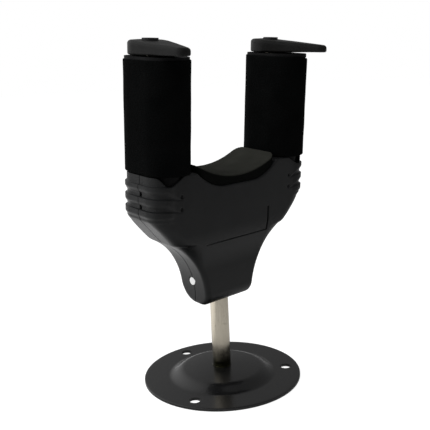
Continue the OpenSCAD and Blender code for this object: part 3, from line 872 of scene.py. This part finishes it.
def dark_steel():
    look = Look("lever_steel", Metallic=0.6)
    blotch = look.noise(200, 4)
    specks = look.noise(2500, 3)
    look.colour(look.mix(look.remap(blotch, 0.3, 0.7, 0, 1), (0.02, 0.02, 0.022), (0.045, 0.045, 0.048)))
    look.rough(look.remap(specks, 0.3, 0.7, 0.4, 0.55))
    look.bump((specks, 0.00002))
    return look.mat


def moulded(name, low, high, rough, gloss=0.5):
    """Plain moulded plastic."""
    look = Look(name, Specular_IOR_Level=gloss)
    blotch = look.noise(150, 4)
    grain = look.noise(3600, 3)
    look.colour(look.mix(look.remap(blotch, 0.3, 0.7, 0, 1), low, high))
    look.rough(look.remap(grain, 0.3, 0.7, rough, rough + 0.1))
    look.bump((grain, 0.00004), (look.noise(900, 2), 0.00003))
    return look.mat


NO_GRAIN = (1, 1, 1)
LOOKS = {
    "shell_plastic": shell_plastic(),
    "gate_plastic": gate_plastic(),
    "foam": foam(),
    "pad_rubber": pad_rubber(),
    "plate_paint": plate_paint(),
    # The rod's foot carries the painted reflection of the black plate
    "rod_nickel": brushed("rod_nickel", (0.50, 0.455, 0.37), (0.60, 0.55, 0.46), 0.1, foot=True),
    "pin_steel": brushed("pin_steel", (0.62, 0.62, 0.62), (0.78, 0.78, 0.78), 0.24, stretch=(0.03, 1, 1)),
    "zinc_screw": brushed("zinc_screw", (0.42, 0.43, 0.45), (0.58, 0.58, 0.60), 0.3, stretch=NO_GRAIN),
    "cast_zinc": brushed("cast_zinc", (0.38, 0.38, 0.39), (0.50, 0.50, 0.51), 0.42, stretch=NO_GRAIN,
                         depth=0.00008, scale=1500),
    "bronze": brushed("bronze", (0.42, 0.27, 0.12), (0.55, 0.37, 0.18), 0.32),
    "spring_steel": brushed("spring_steel", (0.45, 0.45, 0.46), (0.62, 0.62, 0.63), 0.25,
                            stretch=(1, 0.2, 1)),
    "lever_steel": dark_steel(),
    "core_plastic": moulded("core_plastic", (0.004, 0.004, 0.0043), (0.006, 0.006, 0.0063), 0.55, gloss=0.08),
    "bush_nylon": moulded("bush_nylon", (0.62, 0.60, 0.54), (0.72, 0.70, 0.64), 0.4),
    "black_screw": brushed("black_screw", (0.035, 0.035, 0.037), (0.06, 0.06, 0.062), 0.35, stretch=NO_GRAIN),
}

# The look of every CAD solid that is shown as it is
SLOTS = {
    "rod": "rod_nickel", "rod_washer": "zinc_screw", "rod_screw": "zinc_screw",
    "journal_washer": "zinc_screw", "journal_screw": "zinc_screw", "pivot_block": "cast_zinc",
    "swivel_bush": "bronze", "actuator_lever": "lever_steel", "lever_screws": "zinc_screw",
    "shell_screws": "black_screw",
}
for side in ("left", "right"):
    SLOTS.update({
        side + "_pivot_pin": "pin_steel", side + "_arm_core": "core_plastic",
        side + "_end_plate": "core_plastic", side + "_end_screws": "black_screw",
        side + "_upper_bush": "bush_nylon", side + "_lower_bush": "bush_nylon",
        side + "_gate_shaft": "rod_nickel", side + "_gate_screw": "black_screw",
        side + "_crank": "cast_zinc", side + "_crank_pin": "zinc_screw",
    })


def dress(obj, look):
    obj.data.materials.clear()
    obj.data.materials.append(LOOKS[look])


for name, look in SLOTS.items():
    dress(nodes[name], look)
pieces = [
    (front_cover, "yoke", "shell_plastic"), (back_cover, "yoke", "shell_plastic"),
    (saddle, "yoke", "pad_rubber"), (foams[-1], "yoke", "foam"), (foams[1], "yoke", "foam"),
    (gates[-1], "left_gate_unit", "gate_plastic"), (gates[1], "right_gate_unit", "gate_plastic"),
    (disc, "wall_mount", "plate_paint"), (bead, "wall_mount", "rod_nickel"),
]
for obj, body_name, look in pieces:
    dress(obj, look)
    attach(obj, body_name)
# The coil's back end sits on the lever and its front end on the front cover
dress(coil, "spring_steel")
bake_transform(coil)

# ---------- Floor, light and camera ----------


class Nodes:
    """Short calls to wire a node tree that starts empty."""

    def __init__(self, tree):
        self.tree = tree
        tree.nodes.clear()

    def add(self, kind, *links, **settings):
        """New node; links go to its first inputs, settings to its own fields."""
        node = self.tree.nodes.new(kind)
        for key, value in settings.items():
            setattr(node, key, value)
        for socket, value in zip(node.inputs, links):
            if isinstance(value, bpy.types.NodeSocket):
                self.tree.links.new(value, socket)
            elif value is not None:
                socket.default_value = value
        return node

    def along(self, place, direction, low, high, to_low, to_high):
        """Smooth ramp of the position along a direction."""
        dot = self.add("ShaderNodeVectorMath", place, direction, operation="DOT_PRODUCT").outputs["Value"]
        return self.ramp(dot, low, high, to_low, to_high)

    def ramp(self, value, low, high, to_low, to_high):
        node = self.add("ShaderNodeMapRange", value, low, high, to_low, to_high,
                        interpolation_type="SMOOTHSTEP")
        return node.outputs["Result"]

    def times(self, a, b):
        return self.add("ShaderNodeMath", a, b, operation="MULTIPLY").outputs["Value"]

    def larger(self, a, b):
        return self.add("ShaderNodeMath", a, b, operation="MAXIMUM").outputs["Value"]


WHITE = (1, 1, 1, 1)
BEHIND_LEFT = (-0.75, 0.65, 0.1)


def floor_material():
    """White to the camera but for the shadow; it glows to glossy rays behind and near the object."""
    mat = bpy.data.materials.new("floor_white")
    mat.use_nodes = True
    nt = Nodes(mat.node_tree)
    path = nt.add("ShaderNodeLightPath")
    place = nt.add("ShaderNodeTexCoord").outputs["Object"]
    paper = nt.add("ShaderNodeBsdfDiffuse", (0.5, 0.5, 0.5, 1))
    reach = nt.add("ShaderNodeVectorMath", place, operation="LENGTH").outputs["Value"]
    behind = nt.along(place, (-0.35, 0.94, 0), 0.02, 0.085, 0, 0.75)
    behind = nt.times(behind, nt.ramp(reach, 0.3, 0.6, 1, 0.3))
    near = nt.times(nt.ramp(reach, 0.044, 0.06, 0, 0.2), nt.ramp(reach, 0.08, 0.2, 1, 0))
    gloss = nt.times(path.outputs["Is Glossy Ray"], nt.larger(behind, near))
    seen = nt.times(path.outputs["Is Camera Ray"], 0.8)
    glow = nt.add("ShaderNodeEmission", WHITE, nt.larger(seen, gloss))
    total = nt.add("ShaderNodeAddShader", paper.outputs[0], glow.outputs[0])
    nt.add("ShaderNodeOutputMaterial", total.outputs[0])
    return mat


bpy.ops.mesh.primitive_circle_add(vertices=128, radius=6, fill_type="NGON", location=(0, 0, -0.0002))
floor = bpy.context.object
floor.name = "floor"
floor.data.materials.append(floor_material())

# The room is white to the camera; to all other rays it is bright behind and to the left, and dim in front
scene = bpy.context.scene
scene.world = bpy.data.worlds.new("studio")
scene.world.use_nodes = True
room = Nodes(scene.world.node_tree)
way = room.add("ShaderNodeTexCoord").outputs["Generated"]
level = room.along(way, BEHIND_LEFT, -0.1, 0.95, 0.2, 1.0)
soft = room.add("ShaderNodeBackground", WHITE, level)
white = room.add("ShaderNodeBackground", WHITE, 1.0)
seen_by = room.add("ShaderNodeLightPath").outputs["Is Camera Ray"]
choice = room.add("ShaderNodeMixShader", seen_by, soft.outputs[0], white.outputs[0])
room.add("ShaderNodeOutputWorld", choice.outputs[0])

AIM = Vector((0, 0, 0.09))


def area_light(name, place, size, power):
    """Square lamp aimed at the middle of the object, left out of reflections."""
    data = bpy.data.lights.new(name, "AREA")
    data.energy = power
    data.shape = "SQUARE"
    data.size = size
    obj = bpy.data.objects.new(name, data)
    bpy.context.scene.collection.objects.link(obj)
    obj.location = place
    obj.rotation_mode = "QUATERNION"
    obj.rotation_quaternion = (AIM - Vector(place)).to_track_quat("-Z", "Y")
    obj.visible_glossy = False
    return obj


area_light("key", (-0.75, 0.45, 0.65), 0.6, 3.5)
area_light("top", (-0.4, -0.3, 0.9), 0.6, 3.5)
area_light("fill", (0.9, -0.9, 0.6), 0.9, 1.2)

AZIMUTH = math.radians(42.71)
ELEVATION = math.radians(11.97)
ROLL = math.radians(-2.67)
DISTANCE = 0.3478
TARGET = Vector((0, 0, 0.08648))
LENS = 57.65

forward = Vector((
    math.sin(AZIMUTH) * math.cos(ELEVATION),
    math.cos(AZIMUTH) * math.cos(ELEVATION),
    -math.sin(ELEVATION),
))
right = Vector((math.cos(AZIMUTH), -math.sin(AZIMUTH), 0))
above = right.cross(forward)
cam_x = right * math.cos(ROLL) + above * math.sin(ROLL)
cam_y = above * math.cos(ROLL) - right * math.sin(ROLL)
cam_data = bpy.data.cameras.new("camera")
cam_data.sensor_width = 36
cam_data.lens = LENS
cam_data.clip_start = 0.01
cam_data.clip_end = 50
camera = bpy.data.objects.new("camera", cam_data)
scene.collection.objects.link(camera)
pose = Matrix((cam_x, cam_y, -forward)).transposed().to_4x4()
pose.translation = TARGET - forward * DISTANCE
camera.matrix_world = pose
scene.camera = camera
scene.view_settings.view_transform = "Standard"
